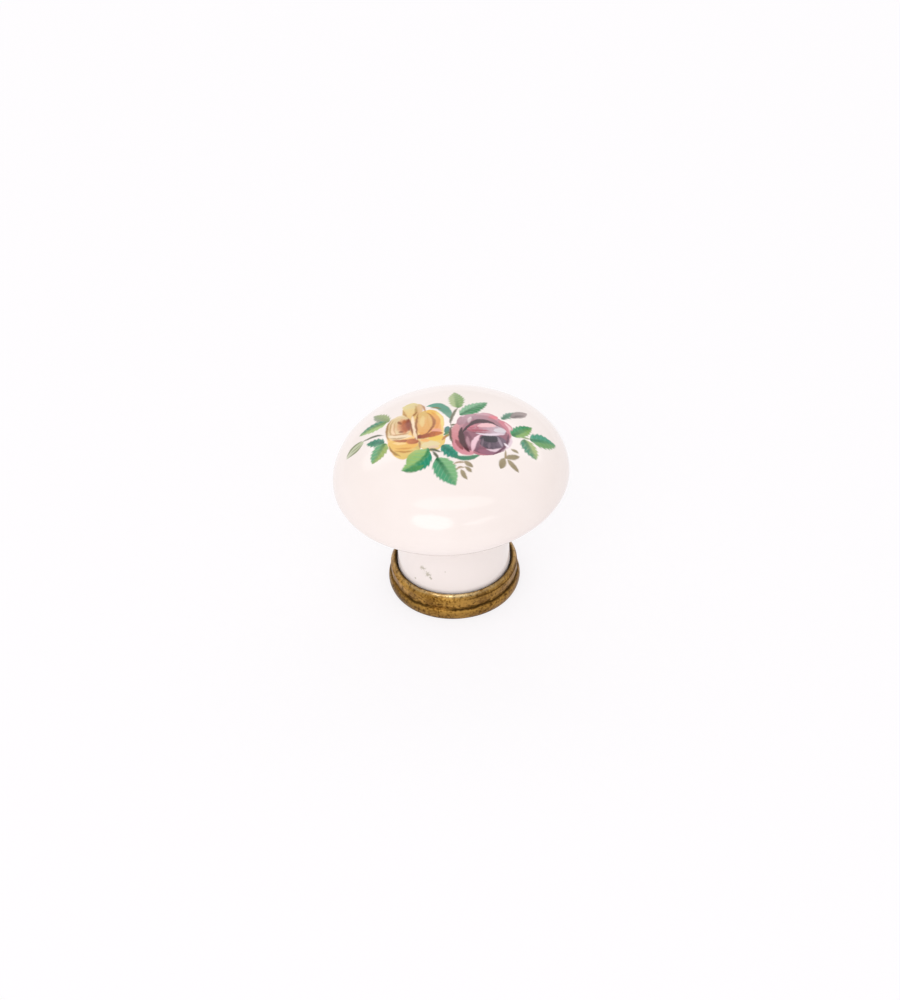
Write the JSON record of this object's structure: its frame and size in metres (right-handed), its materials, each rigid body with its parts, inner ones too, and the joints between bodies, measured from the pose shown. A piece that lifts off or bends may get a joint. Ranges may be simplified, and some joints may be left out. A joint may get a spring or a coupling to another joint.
{
  "type": "cabinet knob",
  "caption": "Round porcelain cabinet knob with a rose-spray transfer on its dome, standing in a turned antique-brass base, with a threaded bush in its foot for the fixing screw.",
  "frame": {"origin": "centre of the base's mounting face, on the fixing screw's axis", "axes": "+Z out of the drawer front along the screw's axis, towards the dome; -Y is the side the picture looks from"},
  "size_m": [0.035, 0.035, 0.0299],
  "materials": {
    "porcelain": "cream glaze, glossy, with a rose-spray transfer under the glaze on the dome",
    "antique_brass": "aged and mottled brown, dark in the groove, worn bright on the lip",
    "turned_brass": "plain turned brass, dulled"
  },
  "bodies": {
    "root": {"porcelain_knob": "porcelain", "base_ferrule": "antique_brass", "threaded_bush": "turned_brass"}
  },
  "joints": []
}
